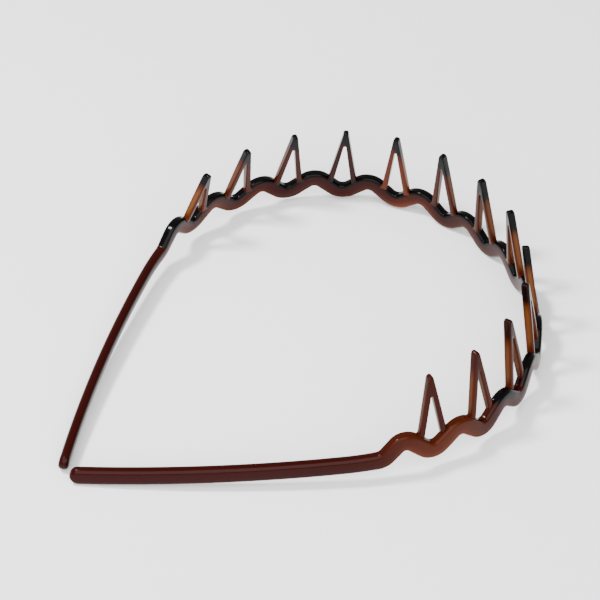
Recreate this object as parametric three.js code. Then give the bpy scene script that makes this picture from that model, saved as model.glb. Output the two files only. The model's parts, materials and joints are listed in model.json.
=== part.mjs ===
// Wave-comb headband, moulded in tortoiseshell plastic.
//
// The band is a narrow ribbon that lies in a long U. Round the crown it snakes up and down in
// thirteen waves, and a comb tooth, an open loop with two legs, stands over every trough. Past
// the last crest on each side a plain arm runs on to a rounded tip behind the ear.
// The real band is one moulding that flexes. Here it is cut at its crests, where it hinges as it
// is opened, and at the tooth roots, so that each link, tooth and arm is a solid of its own.
//
// Millimetres, +Z up, the teeth point up, +Y towards the crown and +X towards the wearer's right.
import * as THREE from 'three';

// Ribbon
const BAND_WIDTH = 4.9;
const BAND_THICKNESS = 2.9;
const EDGE_CHAMFER = 0.7;
const BAND_FLARE = THREE.MathUtils.degToRad(6.1);
const GAP = 0.3;

// Waves: one trough under every tooth, a crest between neighbours
const TEETH = 13;
const PITCH = 16.6;
const BEND_RADIUS = 4;
const WAVE_SLOPE = THREE.MathUtils.degToRad(39);
const WAVE_STEPS = 21;
const WAVE_END = (TEETH / 2) * PITCH;

// Half of the U seen from above, from the middle of the crown to the tip, as tangent arcs
const PLAN = [
  { radius: 62, length: 25 },
  { radius: 54, length: 82 },
  { radius: 75, length: 17 },
  { radius: 410, length: 80 },
];

// The arm seen from the side: over the last crest, down the shoulder and along to the tip
const SHOULDER_ANGLE = THREE.MathUtils.degToRad(50);
const ARM_DROOP = THREE.MathUtils.degToRad(6.4);
const CREST_RADIUS = 2.9;
const SHOULDER_RADIUS = 3.8;
const SHOULDER_FLAT = 4;
const ARM_LENGTH = 83;
const ARM_PROFILE = [
  { radius: CREST_RADIUS, length: CREST_RADIUS * SHOULDER_ANGLE },
  { radius: Infinity, length: SHOULDER_FLAT },
  { radius: -SHOULDER_RADIUS, length: SHOULDER_RADIUS * (SHOULDER_ANGLE - ARM_DROOP) },
  { radius: Infinity, length: ARM_LENGTH },
];
const ARM_PATH = ARM_PROFILE.reduce((sum, piece) => sum + piece.length, 0);
const BAND_END = WAVE_END + ARM_PATH;

// Teeth: tallest and most upright at the crown, shorter and more inclined at both ends
const TOOTH_HEIGHT = 26;
const TOOTH_SHORTENING = 0.22;
const TOOTH_LEAN = THREE.MathUtils.degToRad(11.3);
const TOOTH_LEAN_GAIN = THREE.MathUtils.degToRad(3.7);
const TOOTH_HALF_BASE = 4.75;
const TOOTH_THICKNESS = 2.2;
const TOOTH_BEVEL = 0.3;
const TOOTH_INSET = 0.25;
const LEG_WIDTH = 1.85;
const TIP_RADIUS = 0.8;
const TIP_SOLID = 6.2;
const LOOP_RADIUS = 0.4;

// How far one bend of the wave reaches along and up, and half the wave's full height.
const BEND_REACH = BEND_RADIUS * Math.sin(WAVE_SLOPE);
const BEND_RISE = BEND_RADIUS * (1 - Math.cos(WAVE_SLOPE));
const WAVE_HEIGHT = BEND_RISE + (PITCH / 4 - BEND_REACH) * Math.tan(WAVE_SLOPE);

// Follows a chain of tangent arcs that bend to the right, and says where a distance ends up.
function walk(pieces, distance) {
  let x = 0;
  let y = 0;
  let turn = 0;
  let left = distance;
  for (const { radius, length } of pieces) {
    const step = Math.min(left, length);
    const bend = step / radius;
    if (Number.isFinite(radius)) {
      x += radius * (Math.sin(turn + bend) - Math.sin(turn));
      y += radius * (Math.cos(turn + bend) - Math.cos(turn));
    } else {
      x += step * Math.cos(turn);
      y -= step * Math.sin(turn);
    }
    turn += bend;
    left -= step;
  }
  return { x, y, turn };
}

// The point at a distance s along the U, with a height z and an offset outwards from the middle.
function place(s, z, outwards) {
  const side = Math.sign(s);
  const { x, y, turn } = walk(PLAN, Math.abs(s));
  return new THREE.Vector3(
    side * (x + outwards * Math.sin(turn)),
    y + outwards * Math.cos(turn),
    z,
  );
}

// The wave's height and slope at a distance along the U: round bends joined by straight flanks.
function wave(s) {
  const phase = s - PITCH * Math.round(s / PITCH);
  const side = Math.sign(phase);
  const fromTrough = Math.abs(phase);
  const fromCrest = PITCH / 2 - fromTrough;
  const fromBend = Math.min(fromTrough, fromCrest);
  if (fromBend > BEND_REACH) {
    return { z: (fromTrough - PITCH / 4) * Math.tan(WAVE_SLOPE), slope: side * WAVE_SLOPE };
  }
  const rise = BEND_RADIUS - Math.sqrt(BEND_RADIUS ** 2 - fromBend ** 2);
  const z = fromTrough < fromCrest ? rise - WAVE_HEIGHT : WAVE_HEIGHT - rise;
  return { z, slope: side * Math.asin(fromBend / BEND_RADIUS) };
}

// The ribbon's middle line in its unrolled plane: distance along the U, height and slope.
function middleLine(path) {
  if (Math.abs(path) <= WAVE_END) {
    return { s: path, ...wave(path) };
  }
  const side = Math.sign(path);
  const { x, y, turn } = walk(ARM_PROFILE, Math.abs(path) - WAVE_END);
  return { s: side * (WAVE_END + x), z: WAVE_HEIGHT + y, slope: -side * turn };
}

// Half the ribbon's width, which rounds off to nearly nothing over the end of each arm.
function halfWidth(path) {
  const full = BAND_WIDTH / 2;
  const toEnd = BAND_END - Math.abs(path);
  if (toEnd >= full) {
    return full;
  }
  return Math.sqrt(full * full - (full - toEnd) ** 2);
}

// The ribbon's section: a rectangle with chamfered edges, half a unit of width up and down.
function bandSection() {
  const x = BAND_THICKNESS / 2;
  const cut = EDGE_CHAMFER / BAND_WIDTH;
  const corners = [
    [x, 0.5 - cut],
    [x - EDGE_CHAMFER, 0.5],
    [EDGE_CHAMFER - x, 0.5],
    [-x, 0.5 - cut],
    [-x, cut - 0.5],
    [EDGE_CHAMFER - x, -0.5],
    [x - EDGE_CHAMFER, -0.5],
    [x, cut - 0.5],
  ];
  return new THREE.Shape(corners.map(([a, b]) => new THREE.Vector2(a, b)));
}

// Sweeps the section through a list of stations along the ribbon.
function bandGeometry(stations) {
  const steps = stations.length - 1;
  const geometry = new THREE.ExtrudeGeometry(bandSection(), {
    steps,
    depth: steps,
    bevelEnabled: false,
  });
  const position = geometry.attributes.position;
  for (let i = 0; i < position.count; i += 1) {
    const path = stations[Math.round(position.getZ(i))];
    const { s, z, slope } = middleLine(path);
    const up = position.getY(i) * 2 * halfWidth(path);
    const height = z + up * Math.cos(slope);
    const outwards = position.getX(i) - height * Math.tan(BAND_FLARE);
    const point = place(s - up * Math.sin(slope), height, outwards);
    position.setXYZ(i, point.x, point.y, point.z);
  }
  geometry.computeVertexNormals();
  return geometry;
}

// One wave, from just past one crest to just short of the next.
function waveStations(tooth) {
  const start = (tooth - 0.5) * PITCH + GAP / 2;
  const length = PITCH - GAP;
  return Array.from({ length: WAVE_STEPS + 1 }, (_, i) => start + (length * i) / WAVE_STEPS);
}

// One arm: close steps down the shoulder, long ones along the arm, even turns round the tip.
function armStations(side) {
  const shoulderSteps = 12;
  const armSteps = 12;
  const tipSteps = 6;
  const lastTurn = 0.94;
  const start = WAVE_END + GAP / 2;
  const shoulderEnd = BAND_END - ARM_LENGTH;
  const tipStart = BAND_END - BAND_WIDTH / 2;
  const stations = [];
  for (let i = 0; i < shoulderSteps; i += 1) {
    stations.push(THREE.MathUtils.lerp(start, shoulderEnd, i / shoulderSteps));
  }
  for (let i = 0; i < armSteps; i += 1) {
    stations.push(THREE.MathUtils.lerp(shoulderEnd, tipStart, i / armSteps));
  }
  for (let i = 0; i <= tipSteps; i += 1) {
    const angle = (lastTurn * (Math.PI / 2) * i) / tipSteps;
    stations.push(tipStart + (BAND_WIDTH / 2) * Math.sin(angle));
  }
  return side > 0 ? stations : stations.map((path) => -path).reverse();
}

// Height of the ribbon's upper edge at a distance from the middle of a trough.
function upperEdge(distance) {
  let low = 0;
  let high = PITCH / 2;
  for (let i = 0; i < 30; i += 1) {
    const middle = (low + high) / 2;
    const { s, slope } = middleLine(middle);
    if (s - (BAND_WIDTH / 2) * Math.sin(slope) < distance) {
      low = middle;
    } else {
      high = middle;
    }
  }
  const { z, slope } = middleLine(low);
  return z + (BAND_WIDTH / 2) * Math.cos(slope);
}

// Where a leg's edge, a line from its half-width at the wave's mean level to the top, meets the
// ribbon, with a gap under the foot.
function footPoint(halfBase, topHalfWidth, topHeight, lean) {
  let height = 0;
  let distance = halfBase;
  for (let i = 0; i < 8; i += 1) {
    distance = halfBase - ((halfBase - topHalfWidth) * height) / topHeight;
    height = (upperEdge(distance) + GAP) / Math.cos(lean);
  }
  return new THREE.Vector2(distance, height);
}

// A tooth seen square on: two legs that meet in a solid, rounded tip.
function toothShape(height, lean) {
  const outer = footPoint(TOOTH_HALF_BASE, TIP_RADIUS, height - TIP_RADIUS, lean);
  const loopTop = height - TIP_SOLID - LOOP_RADIUS;
  const inner = footPoint(TOOTH_HALF_BASE - LEG_WIDTH, LOOP_RADIUS, loopTop, lean);
  const middle = (outer.x + inner.x) / 2;
  const sole = (upperEdge(middle) + GAP) / Math.cos(lean);
  const shape = new THREE.Shape();
  shape.moveTo(outer.x, outer.y);
  shape.absarc(0, height - TIP_RADIUS, TIP_RADIUS, 0, Math.PI, false);
  shape.lineTo(-outer.x, outer.y);
  shape.lineTo(-middle, sole);
  shape.lineTo(-inner.x, inner.y);
  shape.absarc(0, loopTop, LOOP_RADIUS, Math.PI, 0, true);
  shape.lineTo(inner.x, inner.y);
  shape.lineTo(middle, sole);
  return shape;
}

// The tooth follows the ribbon's curve at its foot and leans in over the head as one piece.
function toothGeometry(tooth) {
  const towardsEnd = (tooth / ((TEETH - 1) / 2)) ** 2;
  const height = TOOTH_HEIGHT * (1 - TOOTH_SHORTENING * towardsEnd);
  const lean = TOOTH_LEAN + TOOTH_LEAN_GAIN * towardsEnd;
  const geometry = new THREE.ExtrudeGeometry(toothShape(height, lean), {
    steps: 1,
    depth: TOOTH_THICKNESS - 2 * TOOTH_BEVEL,
    bevelThickness: TOOTH_BEVEL,
    bevelSize: TOOTH_BEVEL,
    bevelOffset: -TOOTH_BEVEL,
    bevelSegments: 1,
    curveSegments: 6,
  });
  const { turn } = walk(PLAN, Math.abs(tooth * PITCH));
  const outwards = new THREE.Vector3(Math.sign(tooth) * Math.sin(turn), Math.cos(turn), 0);
  const rise = new THREE.Vector3(0, 0, Math.cos(lean)).addScaledVector(outwards, -Math.sin(lean));
  const position = geometry.attributes.position;
  for (let i = 0; i < position.count; i += 1) {
    const offset = TOOTH_THICKNESS / 2 - TOOTH_BEVEL - TOOTH_INSET - position.getZ(i);
    const point = place(tooth * PITCH + position.getX(i), 0, offset);
    point.addScaledVector(rise, position.getY(i));
    position.setXYZ(i, point.x, point.y, point.z);
  }
  geometry.computeVertexNormals();
  return geometry;
}

function tortoiseshell(color) {
  return new THREE.MeshStandardMaterial({ color, roughness: 0.15, metalness: 0 });
}

const band = new THREE.Group();

function addPiece(name, geometry, color) {
  const mesh = new THREE.Mesh(geometry, tortoiseshell(color));
  mesh.name = name;
  band.add(mesh);
}

for (let number = 1; number <= TEETH; number += 1) {
  const tooth = number - (TEETH + 1) / 2;
  const label = String(number).padStart(2, '0');
  addPiece(`wave_${label}`, bandGeometry(waveStations(tooth)), 0x4a1a10);
  addPiece(`tooth_${label}`, toothGeometry(tooth), 0x6b2a14);
}
addPiece('left_arm', bandGeometry(armStations(-1)), 0x55190f);
addPiece('right_arm', bandGeometry(armStations(1)), 0x55190f);

// Laid on a table, the band tips until the crown's lowest wave and both tips touch it.
function lowestBelow(path) {
  const { s, z } = middleLine(path);
  return place(s, z - halfWidth(path), 0);
}
const crownFoot = lowestBelow(0);
const tipFoot = lowestBelow(BAND_END - BAND_WIDTH / 2);
const restTilt = Math.atan2(crownFoot.z - tipFoot.z, crownFoot.y - tipFoot.y);
band.rotation.x = -restTilt;

// The origin is on the table, under the middle of the band's outer box.
const headband = new THREE.Group();
headband.add(band);
const box = new THREE.Box3().setFromObject(headband, true);
band.position.set(0, -(box.min.y + box.max.y) / 2, -box.min.z);

export default headband;
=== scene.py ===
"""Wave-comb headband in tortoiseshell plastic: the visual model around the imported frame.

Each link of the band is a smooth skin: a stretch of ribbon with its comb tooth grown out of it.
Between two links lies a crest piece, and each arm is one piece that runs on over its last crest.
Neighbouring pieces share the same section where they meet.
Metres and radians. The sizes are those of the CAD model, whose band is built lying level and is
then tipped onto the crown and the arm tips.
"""
import json
import math

import bmesh
import bpy
import numpy as np
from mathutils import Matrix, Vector
from mathutils.kdtree import KDTree


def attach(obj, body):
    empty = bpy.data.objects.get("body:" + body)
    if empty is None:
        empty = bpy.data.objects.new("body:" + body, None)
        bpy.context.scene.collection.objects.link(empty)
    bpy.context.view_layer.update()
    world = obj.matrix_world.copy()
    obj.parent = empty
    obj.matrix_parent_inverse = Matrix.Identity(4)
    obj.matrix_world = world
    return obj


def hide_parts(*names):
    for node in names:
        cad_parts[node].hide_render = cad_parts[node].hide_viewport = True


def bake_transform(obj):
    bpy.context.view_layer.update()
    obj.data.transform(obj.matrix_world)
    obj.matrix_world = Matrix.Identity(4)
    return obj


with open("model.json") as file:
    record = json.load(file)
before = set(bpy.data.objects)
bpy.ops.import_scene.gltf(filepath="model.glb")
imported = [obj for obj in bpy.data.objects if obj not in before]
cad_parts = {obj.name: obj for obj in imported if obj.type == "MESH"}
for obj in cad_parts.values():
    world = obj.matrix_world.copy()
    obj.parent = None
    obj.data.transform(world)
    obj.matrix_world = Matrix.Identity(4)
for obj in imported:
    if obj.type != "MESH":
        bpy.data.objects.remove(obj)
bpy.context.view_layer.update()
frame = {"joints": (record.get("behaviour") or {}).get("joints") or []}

MM = 0.001

# Ribbon. Its faces swell a little, and past the waves its edges grow rounder over EDGE_CHANGE.
BAND_WIDTH = 4.9 * MM
BAND_THICKNESS = 2.9 * MM
BAND_EDGE_RADIUS = 0.85 * MM
ARM_EDGE_RADIUS = 1.3 * MM
BAND_FLARE = math.radians(6.1)
FACE_SWELL = 0.05 * MM
EDGE_CHANGE = 14 * MM
TEETH = 13
LAST_TOOTH = (TEETH - 1) // 2
PITCH = 16.6 * MM
BEND_RADIUS = 4 * MM
WAVE_SLOPE = math.radians(39)
BEND_REACH = BEND_RADIUS * math.sin(WAVE_SLOPE)
BEND_RISE = BEND_RADIUS * (1 - math.cos(WAVE_SLOPE))
WAVE_HEIGHT = BEND_RISE + (PITCH / 4 - BEND_REACH) * math.tan(WAVE_SLOPE)
WAVE_END = TEETH / 2 * PITCH

# Half of the U seen from above and the arm seen from the side, as tangent arcs: radius, length
PLAN = [(62 * MM, 25 * MM), (54 * MM, 82 * MM), (75 * MM, 17 * MM), (410 * MM, 80 * MM)]
SHOULDER_ANGLE = math.radians(50)
ARM_DROOP = math.radians(6.4)
ARM_LENGTH = 83 * MM
ARM_PROFILE = [
    (2.9 * MM, 2.9 * MM * SHOULDER_ANGLE),
    (math.inf, 4 * MM),
    (-3.8 * MM, 3.8 * MM * (SHOULDER_ANGLE - ARM_DROOP)),
    (math.inf, ARM_LENGTH),
]
BAND_END = WAVE_END + sum(length for _, length in ARM_PROFILE)

# Teeth
TOOTH_HEIGHT = 26 * MM
TOOTH_SHORTENING = 0.22
TOOTH_LEAN = math.radians(11.3)
TOOTH_LEAN_GAIN = math.radians(3.7)
TOOTH_HALF_BASE = 4.75 * MM
TOOTH_THICKNESS = 2.2 * MM
TOOTH_INSET = 0.25 * MM
TOOTH_EDGE_RADIUS = 0.6 * MM
LEG_WIDTH = 1.85 * MM
TIP_RADIUS = 0.8 * MM
TIP_SOLID = 6.2 * MM
LOOP_RADIUS = 0.4 * MM
LOOP_FILLET = 1.5 * MM
OUTER_FILLET = 0.5 * MM
ROOT_DEPTH = 1.1 * MM

# Half a tooth's bow: the share that turns round the tip, and the sections in the turn and the leg
TURN_SHARE = 0.22
TURN_SECTIONS = 14
LEG_SECTIONS = 44

# Where a link's skin ends and the crest piece begins, measured from the trough under its tooth
LINK_HALF = 5.6 * MM
ARM_BEND_END = 26 * MM

# Sections: their usual spacing, the closer one beside a seam, and the wider one along an arm, which
# begins a little past the shoulder; then those that close an arm's end
STEP = 0.42 * MM
SEAM_STEP = 0.04 * MM
ARM_STEP = 1.1 * MM
SHOULDER_RUN_OUT = 2 * MM
END_SECTIONS = 10
END_TURN = math.radians(88)

# Edges sharper than this stay sharp
CREASE = math.radians(40)


def walk(pieces, distance):
    """Follows tangent arcs that bend to the right: x, y and the angle turned at a distance."""
    x = y = turn = 0.0
    left = distance
    for radius, length in pieces:
        step = min(left, length)
        if math.isinf(radius):
            bend = 0.0
            x += step * math.cos(turn)
            y -= step * math.sin(turn)
        else:
            bend = step / radius
            x += radius * (math.sin(turn + bend) - math.sin(turn))
            y += radius * (math.cos(turn + bend) - math.cos(turn))
        turn += bend
        left -= step
    return x, y, turn


def place(s, z, outwards):
    """The point at a distance s along the U, as the band lies level before it is tipped."""
    side = math.copysign(1.0, s)
    x, y, turn = walk(PLAN, abs(s))
    return Vector((side * (x + outwards * math.sin(turn)), y + outwards * math.cos(turn), z))


def wave(s):
    """The wave's height and slope at a distance along the U: round bends and straight flanks."""
    phase = s - PITCH * round(s / PITCH)
    side = math.copysign(1.0, phase)
    from_trough = abs(phase)
    from_crest = PITCH / 2 - from_trough
    from_bend = min(from_trough, from_crest)
    if from_bend > BEND_REACH:
        return (from_trough - PITCH / 4) * math.tan(WAVE_SLOPE), side * WAVE_SLOPE
    rise = BEND_RADIUS - math.sqrt(BEND_RADIUS**2 - from_bend**2)
    z = rise - WAVE_HEIGHT if from_trough < from_crest else WAVE_HEIGHT - rise
    return z, side * math.asin(from_bend / BEND_RADIUS)


def middle_line(path):
    """The ribbon's middle line unrolled: distance along the U, height and slope."""
    if abs(path) <= WAVE_END:
        return path, *wave(path)
    side = math.copysign(1.0, path)
    x, y, turn = walk(ARM_PROFILE, abs(path) - WAVE_END)
    return side * (WAVE_END + x), WAVE_HEIGHT + y, -side * turn


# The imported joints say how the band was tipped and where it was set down.
joints = {j["name"]: j for j in frame["joints"]}
up_axis = Vector(joints["right_flex"]["axis"])
REST_TILT = math.atan2(up_axis.y, up_axis.z)
first_crest = place(PITCH / 2, WAVE_HEIGHT, -WAVE_HEIGHT * math.tan(BAND_FLARE))


def tip_over(v):
    """Turns a level point about X to the pose in which the band rests."""
    c, s = math.cos(-REST_TILT), math.sin(-REST_TILT)
    return Vector((v.x, v.y * c - v.z * s, v.y * s + v.z * c))


SHIFT = Vector(joints["right_flex"]["pos_m"]) - tip_over(first_crest)


def rest(v):
    """A level point in the row frame."""
    return tip_over(v) + SHIFT


def rounded_box(half_x, half_y, radius, corner_steps, side_steps, swell=0.0):
    """A rounded rectangle as points counter-clockwise; the sides across x may swell a little."""
    radius = min(radius, half_x * 0.98, half_y * 0.98)
    corners = [(1, 1, 0), (-1, 1, 90), (-1, -1, 180), (1, -1, 270)]
    points = []
    for index, (sx, sy, start) in enumerate(corners):
        cx, cy = sx * (half_x - radius), sy * (half_y - radius)
        for i in range(corner_steps + 1):
            a = math.radians(start + 90 * i / corner_steps)
            points.append((cx + radius * math.cos(a), cy + radius * math.sin(a)))
        next_x, next_y, next_start = corners[(index + 1) % 4]
        a = math.radians(next_start)
        goal_x = next_x * (half_x - radius) + radius * math.cos(a)
        goal_y = next_y * (half_y - radius) + radius * math.sin(a)
        last_x, last_y = points[-1]
        for i in range(1, side_steps + 1):
            t = i / (side_steps + 1)
            points.append((last_x + (goal_x - last_x) * t, last_y + (goal_y - last_y) * t))
    if swell:
        flat = half_y - radius
        points = [
            (x + math.copysign(swell * max(0.0, 1 - (y / flat) ** 2), x) if abs(y) < flat else x, y)
            for x, y in points
        ]
    return points


def smooth(low, high, value):
    """0 below low, 1 above high and a smooth rise between them; low may be the greater."""
    t = min(1.0, max(0.0, (value - low) / (high - low)))
    return t * t * (3 - 2 * t)


def ribbon_ring(path, squeeze=1.0):
    """One section of the ribbon and its tints.

    squeeze below 1 closes the rounded end of an arm, where the thickness falls off later than the
    width and not all the way.
    """
    s, z, slope = middle_line(path)
    on_arm = smooth(WAVE_END, WAVE_END + EDGE_CHANGE, abs(path))
    edge = BAND_EDGE_RADIUS + (ARM_EDGE_RADIUS - BAND_EDGE_RADIUS) * on_arm
    half_width = BAND_WIDTH / 2 * squeeze
    half_thickness = BAND_THICKNESS / 2 * (1 - (1 - squeeze) ** 2.2 * 0.75)
    ring = []
    for a, b in rounded_box(half_thickness, half_width, edge, 5, 3, FACE_SWELL * squeeze):
        height = z + b * math.cos(slope)
        point = rest(place(s - b * math.sin(slope), height, a - height * math.tan(BAND_FLARE)))
        ring.append((point, ribbon_tint(path, a / half_thickness, b / half_width)))
    return ring


def between(start, end, step):
    """Evenly spaced places after start and before end."""
    count = max(2, round((end - start) / step))
    return [start + (end - start) * i / count for i in range(1, count)]


def seam_to_seam(start, end):
    """Places from start to end, the outermost two close to the ends so that seams shade evenly."""
    return [start, start + SEAM_STEP, *between(start, end, STEP), end - SEAM_STEP, end]


def tube_mesh(name, rings):
    """A closed mesh through rings of equal length, with a flat cap at each end."""
    mesh = bpy.data.meshes.new(name)
    size = len(rings[0])
    verts = [point for ring in rings for point, _ in ring]
    faces = []
    for r in range(len(rings) - 1):
        for i in range(size):
            j = (i + 1) % size
            faces.append((r * size + i, r * size + j, (r + 1) * size + j, (r + 1) * size + i))
    last = (len(rings) - 1) * size
    faces.append(tuple(range(size - 1, -1, -1)))
    faces.append(tuple(range(last, last + size)))
    mesh.from_pydata(verts, [], faces)
    mesh.update()
    return mesh


def leg_edges(height, t):
    """The outer and inner edge of the tooth's bow, seen square on, at t from -1 to 1.

    The tip is at 0 and the feet are at -1 and 1. The turn stops a little short of square to the legs.
    """
    outer_top = height - TIP_RADIUS
    loop_top = height - TIP_SOLID - LOOP_RADIUS
    whole_turn = math.pi / 2 - math.atan2(TOOTH_HALF_BASE - TIP_RADIUS, outer_top) * 0.9
    a = whole_turn * min(abs(t), TURN_SHARE) / TURN_SHARE
    outer = Vector((TIP_RADIUS * math.sin(a), outer_top + TIP_RADIUS * math.cos(a)))
    inner = Vector((LOOP_RADIUS * math.sin(a), loop_top + LOOP_RADIUS * math.cos(a)))
    if abs(t) >= TURN_SHARE:
        down_leg = (abs(t) - TURN_SHARE) / (1 - TURN_SHARE)
        outer = outer.lerp(Vector((TOOTH_HALF_BASE, 0)), down_leg)
        inner = inner.lerp(Vector((TOOTH_HALF_BASE - LEG_WIDTH, 0)), down_leg)
    side = math.copysign(1.0, t)
    outer.x *= side
    inner.x *= side
    return outer, inner


# Tints: how amber, how black, how bright (light shines through) and how worn a place is.
# Sections run from -1 to 1: across the thickness from the inner to the outer face, and upwards.
# Places along the band are counted in pitches from the crown's middle, positive on the right.

# Clouds on the ribbon: centre, half length, amount
AMBER_CLOUDS = [(-6.35, 0.5, 0.7), (-5.6, 0.3, 0.9), (-4.8, 0.35, 0.6), (-1.9, 0.24, 1.2),
                (-1.35, 0.2, 0.7), (-0.3, 0.2, 0.5), (2.6, 0.4, 0.6), (5.8, 0.95, 0.7)]
BLACK_CLOUDS = [(-6.55, 0.28, 1.0), (3.3, 0.35, 0.9), (4.45, 0.25, 0.9), (2.1, 0.3, 0.7)]
AMBER_BELOW = 0.28
ARMS_FROM = 6.6
# Teeth from left to right: how amber the legs and how black the tips are
TOOTH_AMBER = [0.60, 0.35, 0.22, 0.0, 0.95, 0.35, 0.45, 0.60, 0.60, 0.50, 0.35, 0.30, 0.18]
TOOTH_BLACK_TIP = [0.9, 0.85, 0.8, 0.8, 0.75, 0.95, 0.9, 0.8, 0.7, 0.65, 0.6, 0.5, 0.35]
DARK_TOOTH = 0.42


def clouds(places, at):
    return sum(amount * math.exp(-((at - centre) / length) ** 2) for centre, length, amount in places)


def ribbon_tint(path, through, upwards):
    """Black along the upper edge except on the right, amber below, clouds in places."""
    at = path / PITCH
    on_wave = 1 - smooth(ARMS_FROM, 7.2, abs(at))
    lower = smooth(0.1, -0.95, upwards)
    upper = smooth(0.25, 0.85, upwards)
    amber_at_top = 0.25 + 0.45 * smooth(4.4, 5.6, at)
    amber = clouds(AMBER_CLOUDS, at) * (amber_at_top + (1 - amber_at_top) * lower)
    amber += AMBER_BELOW * lower * on_wave
    dark_top = upper * on_wave * smooth(5.2, 2.5, at)
    black = dark_top + clouds(BLACK_CLOUDS, at) * smooth(-0.6, 0.5, upwards)
    if at < -ARMS_FROM:
        black += 0.55 * smooth(-ARMS_FROM, -7.6, at) * smooth(0.5, -0.5, through)
        amber += 0.4 * smooth(-8.6, -6.9, at) * smooth(0.2, -0.8, abs(upwards) - 0.4)
    if at > ARMS_FROM:
        black += 0.32 * math.exp(-((upwards - 0.05) / 0.45) ** 2) * smooth(12.5, 9.5, at)
    worn = smooth(9.8, 12.2, abs(at)) * smooth(0.3, 0.8, upwards)
    return amber * (1 - dark_top), black, 0.0, worn


def tooth_tint(tooth, height, to_right, through, sideways):
    """A black tip, dark outlines and roots, and paler sides where light shines through the legs."""
    amber = TOOTH_AMBER[tooth + LAST_TOOTH]
    tip = smooth(0.60, 0.88, height + 0.07 * to_right) * TOOTH_BLACK_TIP[tooth + LAST_TOOTH]
    outline = smooth(0.5, 1.0, abs(through)) * 0.5 * (1 - amber)
    root = 0.3 * smooth(0.2, 0.08, height)
    black = max(0.0 if amber else DARK_TOOTH, tip * 1.05, outline) + root
    shine = smooth(0.8, 1.0, abs(sideways)) * smooth(0.9, 0.2, abs(through))
    shine *= smooth(0.16, 0.3, height) * smooth(0.80, 0.62, height)
    bright = shine * min(1.0, amber * 1.3) * 0.42
    return amber * 0.8 * (1 - tip), black * (1 - shine * 0.6), bright, 0.0


def upper_edge(distance):
    """Height of the ribbon's upper edge at a distance from the middle of a trough."""
    low, high = 0.0, PITCH / 2
    for _ in range(30):
        middle = (low + high) / 2
        s, _, slope = middle_line(middle)
        if s - BAND_WIDTH / 2 * math.sin(slope) < distance:
            low = middle
        else:
            high = middle
    _, z, slope = middle_line(low)
    return z + BAND_WIDTH / 2 * math.cos(slope)


def fillet(radius, above):
    """How far a fillet of this radius reaches sideways at a height above its foot."""
    left = min(radius, max(0.0, radius - above))
    return radius - math.sqrt(max(0.0, radius * radius - left * left))


def tooth_rings(tooth):
    """An open loop: two legs that meet in a solid tip, flared a little where they are rooted."""
    towards_end = (tooth / LAST_TOOTH) ** 2
    height = TOOTH_HEIGHT * (1 - TOOTH_SHORTENING * towards_end)
    lean = TOOTH_LEAN + TOOTH_LEAN_GAIN * towards_end
    _, _, turn = walk(PLAN, abs(tooth * PITCH))
    outwards = Vector((math.copysign(1.0, tooth) * math.sin(turn), math.cos(turn), 0))
    rise = Vector((0, 0, math.cos(lean))) - outwards * math.sin(lean)
    loop_floor = upper_edge(0) / math.cos(lean)
    turn_steps = [TURN_SHARE * i / TURN_SECTIONS for i in range(TURN_SECTIONS)]
    leg_steps = [TURN_SHARE + (1 - TURN_SHARE) * i / LEG_SECTIONS for i in range(LEG_SECTIONS + 1)]
    half = turn_steps + leg_steps
    rings = []
    for t in [-u for u in reversed(half)] + half[1:]:
        outer, inner = leg_edges(height, t)
        middle = (outer + inner) / 2
        across = outer - inner
        root = upper_edge(abs(middle.x)) / math.cos(lean)
        if middle.y < root - ROOT_DEPTH:
            continue
        outer_flare = fillet(OUTER_FILLET, middle.y - root)
        inner_flare = fillet(LOOP_FILLET, middle.y - loop_floor)
        half_width = (across.length + outer_flare + inner_flare) / 2
        across.normalize()
        middle += across * (outer_flare - inner_flare) / 2
        ring = []
        for a, b in rounded_box(TOOTH_THICKNESS / 2, half_width, TOOTH_EDGE_RADIUS, 4, 2):
            at = middle + across * b
            point = rest(place(tooth * PITCH + at.x, 0.0, a - TOOTH_INSET) + rise * at.y)
            through = a * 2 / TOOTH_THICKNESS
            tint = tooth_tint(tooth, at.y / height, at.x / LEG_WIDTH, through, b / half_width)
            ring.append((point, tint))
        rings.append(ring)
    return rings


def solid_object(name, mesh):
    """Links a mesh to the scene, with its faces turned outwards."""
    bm = bmesh.new()
    bm.from_mesh(mesh)
    bmesh.ops.recalc_face_normals(bm, faces=bm.faces)
    bm.to_mesh(mesh)
    bm.free()
    obj = bpy.data.objects.new(name, mesh)
    bpy.context.scene.collection.objects.link(obj)
    return obj


def fuse(base, other):
    """Joins another closed object into base and leaves one clean mesh."""
    boolean = base.modifiers.new("join", "BOOLEAN")
    boolean.operation = "UNION"
    boolean.solver = "EXACT"
    boolean.object = other
    depsgraph = bpy.context.evaluated_depsgraph_get()
    mesh = bpy.data.meshes.new_from_object(base.evaluated_get(depsgraph))
    base.modifiers.clear()
    base.data = mesh
    bpy.data.objects.remove(other)
    return base


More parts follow.
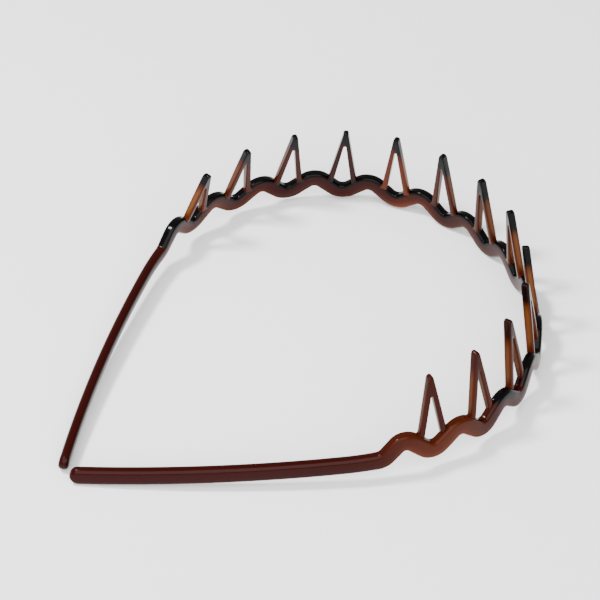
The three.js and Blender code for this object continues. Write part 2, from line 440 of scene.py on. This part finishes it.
class Nodes:
    """A short way to write a node tree around one Principled shader."""

    def __init__(self, name):
        self.material = bpy.data.materials.new(name)
        self.material.use_nodes = True
        self.tree = self.material.node_tree
        self.tree.nodes.clear()
        self.shader = self.add("ShaderNodeBsdfPrincipled")
        output = self.add("ShaderNodeOutputMaterial")
        self.link(self.shader.outputs[0], output.inputs["Surface"])

    def add(self, kind):
        return self.tree.nodes.new(kind)

    def link(self, a, b):
        self.tree.links.new(a, b)

    def attribute(self, name):
        node = self.add("ShaderNodeAttribute")
        node.attribute_name = name
        return node.outputs

    def noise(self, vector, scale, detail=3.0, roughness=0.5, distortion=0.0):
        node = self.add("ShaderNodeTexNoise")
        node.inputs["Scale"].default_value = scale
        node.inputs["Detail"].default_value = detail
        node.inputs["Roughness"].default_value = roughness
        node.inputs["Distortion"].default_value = distortion
        self.link(vector, node.inputs["Vector"])
        return node.outputs["Fac"]

    def ramp(self, value, stops):
        """A smooth run through colours or plain numbers, each at its position."""
        node = self.add("ShaderNodeValToRGB")
        node.color_ramp.interpolation = "EASE"
        elements = node.color_ramp.elements
        while len(elements) < len(stops):
            elements.new(0.5)
        for element, (position, color) in zip(elements, stops):
            element.position = position
            element.color = (*(color if isinstance(color, tuple) else (color,) * 3), 1)
        self.link(value, node.inputs["Fac"])
        return node.outputs["Color"]

    def mix(self, factor, a, b):
        """From a to b, each a colour or an output, as an output says."""
        node = self.add("ShaderNodeMix")
        node.data_type = "RGBA"
        sockets = node.inputs
        self.link(factor, sockets[0])
        for socket, value in ((sockets[6], a), (sockets[7], b)):
            if isinstance(value, tuple):
                socket.default_value = (*value, 1)
            else:
                self.link(value, socket)
        return node.outputs[2]

    def calculate(self, operation, a, b, clamp=False):
        """An output a with b, which is an output or a number."""
        node = self.add("ShaderNodeMath")
        node.operation = operation
        node.use_clamp = clamp
        self.link(a, node.inputs[0])
        if isinstance(b, float):
            node.inputs[1].default_value = b
        else:
            self.link(b, node.inputs[1])
        return node.outputs[0]


# Colours: the first two by the strength of their cloud
BODY = [
    (0.58, (0.005, 0.0006, 0.0005)),
    (0.68, (0.018, 0.0012, 0.0006)),
    (0.78, (0.040, 0.0030, 0.0009)),
    (0.88, (0.085, 0.0105, 0.0020)),
]
AMBER = [(0.36, (0.052, 0.0050, 0.0010)), (0.64, (0.22, 0.052, 0.007))]
BLACK = (0.0014, 0.0009, 0.0010)
SHINE = (0.36, 0.155, 0.040)
SCUFF = (0.42, 0.28, 0.23)
SCUFF_ROUGHNESS = (0.5, 0.5, 0.5)


def tortoiseshell(name):
    """Polished red-brown plastic with black and amber clouds, laid out in the piece's rest place.

    The painted tints say where the clouds may lie, and noise, scaled per metre, breaks them up.
    """
    n = Nodes(name)
    at = n.attribute("rest_place")["Vector"]
    tint = n.attribute("tint")
    split = n.add("ShaderNodeSeparateColor")
    n.link(tint["Color"], split.inputs[0])
    amber_tint, black_tint, shine_tint = split.outputs

    fine_cloud = n.calculate("MULTIPLY", n.noise(at, 520, 2.0), 0.45)
    body = n.ramp(n.calculate("ADD", n.noise(at, 120, 3.0, 0.55, 0.5), fine_cloud), BODY)
    amber_cloud = n.noise(at, 330, 4.0, 0.62, 0.7)
    amber_patches = n.ramp(amber_cloud, [(0.32, 0.25), (0.54, 1.0)])
    amber_share = n.calculate("MULTIPLY", amber_tint, amber_patches, True)
    color = n.mix(amber_share, body, n.ramp(amber_cloud, AMBER))
    black_cloud = n.calculate("ADD", n.noise(at, 190, 3.0, 0.55, 0.6), n.noise(at, 560, 2.0, 0.5))
    soot = n.calculate("ADD", black_tint, n.calculate("MULTIPLY", black_cloud, 1.6))
    black = n.ramp(n.calculate("MULTIPLY", soot, 0.4), [(0.79, 0.0), (0.91, 1.0)])
    color = n.mix(black, color, BLACK)
    shine_patches = n.ramp(n.noise(at, 420, 3.0, 0.6), [(0.40, 0.1), (0.6, 1.0)])
    color = n.mix(n.calculate("MULTIPLY", shine_tint, shine_patches, True), color, SHINE)
    chips = n.ramp(n.noise(at, 620, 2.0, 0.5), [(0.60, 0.0), (0.66, 1.0)])
    scuffed = n.calculate("MULTIPLY", tint["Alpha"], chips, True)
    color = n.mix(scuffed, color, SCUFF)
    n.link(color, n.shader.inputs["Base Color"])

    polish = n.ramp(n.noise(at, 1100, 4.0, 0.65), [(0.35, 0.09), (0.7, 0.18)])
    n.link(n.mix(scuffed, polish, SCUFF_ROUGHNESS), n.shader.inputs["Roughness"])
    n.shader.inputs["IOR"].default_value = 1.2
    n.shader.inputs["Specular IOR Level"].default_value = 0.4
    bump = n.add("ShaderNodeBump")
    bump.inputs["Strength"].default_value = 0.05
    bump.inputs["Distance"].default_value = 0.0004
    n.link(n.noise(at, 260, 2.0, 0.5), bump.inputs["Height"])
    n.link(bump.outputs[0], n.shader.inputs["Normal"])
    return n.material


skin = tortoiseshell("tortoiseshell")


def tint_mesh(mesh, rings):
    """Stores every vertex's rest place, and the tints of the nearest point of the sections."""
    known = [pair for ring in rings for pair in ring]
    tree = KDTree(len(known))
    for index, (point, _) in enumerate(known):
        tree.insert(point, index)
    tree.balance()
    place_layer = mesh.attributes.new("rest_place", "FLOAT_VECTOR", "POINT")
    tint_layer = mesh.color_attributes.new("tint", "FLOAT_COLOR", "POINT")
    co = np.empty(len(mesh.vertices) * 3, np.float32)
    mesh.vertices.foreach_get("co", co)
    place_layer.data.foreach_set("vector", co)
    colors = np.array([known[tree.find(p)[1]][1] for p in co.reshape(-1, 3)], np.float32)
    tint_layer.data.foreach_set("color", colors.ravel())


def finish_piece(obj, rings):
    """Smooth faces with sharp seams and edges, the material and the tints."""
    mesh = obj.data
    for polygon in mesh.polygons:
        polygon.use_smooth = True
    bm = bmesh.new()
    bm.from_mesh(mesh)
    for edge in bm.edges:
        if edge.calc_face_angle(0.0) > CREASE:
            edge.smooth = False
    bm.to_mesh(mesh)
    bm.free()
    mesh.materials.clear()
    mesh.materials.append(skin)
    tint_mesh(mesh, rings)


def body_of(tooth):
    if tooth == 0:
        return "crown"
    return f"{'right' if tooth > 0 else 'left'}_link_{abs(tooth)}"


def node_number(tooth):
    return f"{tooth + (TEETH + 1) // 2:02d}"


def section_point(path):
    """The middle of the ribbon's section at a place along its path."""
    s, z, _ = middle_line(path)
    return rest(place(s, z, -z * math.tan(BAND_FLARE)))


def make_link(tooth):
    """The stretch of ribbon through a trough, with the tooth that stands in it."""
    label = node_number(tooth)
    centre = tooth * PITCH
    band_rings = [ribbon_ring(p) for p in seam_to_seam(centre - LINK_HALF, centre + LINK_HALF)]
    comb_rings = tooth_rings(tooth)
    ribbon = solid_object(f"link_{label}", tube_mesh(f"link_{label}", band_rings))
    comb = solid_object(f"comb_{label}", tube_mesh(f"comb_{label}", comb_rings))
    link = fuse(ribbon, comb)
    finish_piece(link, band_rings + comb_rings)
    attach(link, body_of(tooth))
    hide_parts(f"wave_{label}", f"tooth_{label}")


def make_crest(tooth):
    """The stretch over the crest between a tooth and the next one to its right."""
    label = f"{node_number(tooth)}_{node_number(tooth + 1)}"
    start = tooth * PITCH + LINK_HALF
    end = (tooth + 1) * PITCH - LINK_HALF
    rings = [ribbon_ring(p) for p in seam_to_seam(start, end)]
    crest = solid_object(f"crest_{label}", tube_mesh(f"crest_{label}", rings))
    finish_piece(crest, rings)
    section_point(start)
    section_point(end)
    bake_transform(crest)


def make_arm(side):
    """The last crest, the shoulder and the plain arm down to its rounded end."""
    name = "right" if side > 0 else "left"
    start = LAST_TOOTH * PITCH + LINK_HALF
    arm_start = BAND_END - ARM_LENGTH + SHOULDER_RUN_OUT
    end_start = BAND_END - BAND_WIDTH / 2
    paths = [start, start + SEAM_STEP, *between(start, arm_start, STEP)]
    paths += [arm_start, *between(arm_start, end_start, ARM_STEP), end_start]
    rings = [ribbon_ring(side * path) for path in paths]
    for i in range(1, END_SECTIONS + 1):
        a = END_TURN * i / END_SECTIONS
        rings.append(ribbon_ring(side * (end_start + BAND_WIDTH / 2 * math.sin(a)), math.cos(a)))
    arm = solid_object(f"{name}_arm_skin", tube_mesh(f"{name}_arm_skin", rings))
    finish_piece(arm, rings)
    section_point(side * start)
    section_point(side * (WAVE_END + ARM_BEND_END))
    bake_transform(arm)
    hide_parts(f"{name}_arm")


for tooth in range(-LAST_TOOTH, LAST_TOOTH + 1):
    make_link(tooth)
for tooth in range(-LAST_TOOTH, LAST_TOOTH):
    make_crest(tooth)
make_arm(-1)
make_arm(1)


FLOOR_HALF = 3.0
LIGHTS_AIM = Vector((0, 0, 0.01))


def make_floor():
    mesh = bpy.data.meshes.new("floor")
    corners = [(-1, -1), (1, -1), (1, 1), (-1, 1)]
    mesh.from_pydata([(FLOOR_HALF * x, FLOOR_HALF * y, 0) for x, y in corners], [], [(0, 1, 2, 3)])
    floor = bpy.data.objects.new("floor", mesh)
    bpy.context.scene.collection.objects.link(floor)
    n = Nodes("floor_paper")
    n.shader.inputs["Base Color"].default_value = (0.93, 0.93, 0.93, 1)
    n.shader.inputs["Roughness"].default_value = 0.9
    n.shader.inputs["Specular IOR Level"].default_value = 0.1
    mesh.materials.append(n.material)


def area_light(name, location, size, power):
    """A rectangular light aimed at the headband; power in watts."""
    data = bpy.data.lights.new(name, "AREA")
    data.shape = "RECTANGLE"
    data.size, data.size_y = size
    data.energy = power
    light = bpy.data.objects.new(name, data)
    light.location = location
    light.rotation_mode = "QUATERNION"
    light.rotation_quaternion = (LIGHTS_AIM - light.location).to_track_quat("-Z", "Y")
    bpy.context.scene.collection.objects.link(light)


def make_world(strength):
    world = bpy.data.worlds.new("studio")
    world.use_nodes = True
    background = world.node_tree.nodes["Background"]
    background.inputs[0].default_value = (1, 1, 1, 1)
    background.inputs[1].default_value = strength
    bpy.context.scene.world = world


def make_camera(azimuth, elevation, distance, target, lens):
    """Angles in degrees, round from the front towards the right and up from the floor; lens in mm."""
    data = bpy.data.cameras.new("camera")
    data.lens = lens
    camera = bpy.data.objects.new("camera", data)
    a, e = math.radians(azimuth), math.radians(elevation)
    back = Vector((math.sin(a) * math.cos(e), -math.cos(a) * math.cos(e), math.sin(e)))
    camera.rotation_mode = "QUATERNION"
    camera.rotation_quaternion = (-back).to_track_quat("-Z", "Y")
    camera.location = Vector(target) + back * distance
    bpy.context.scene.collection.objects.link(camera)
    bpy.context.scene.camera = camera


make_floor()
make_world(0.62)
area_light("key", (-0.22, -0.26, 0.62), (0.12, 0.12), 7)
area_light("sky", (0.75, -0.6, 0.95), (2.0, 1.6), 48)
make_camera(52.9, 44.0, 0.78, (-0.00705, 0.01035, 0.012), 166)
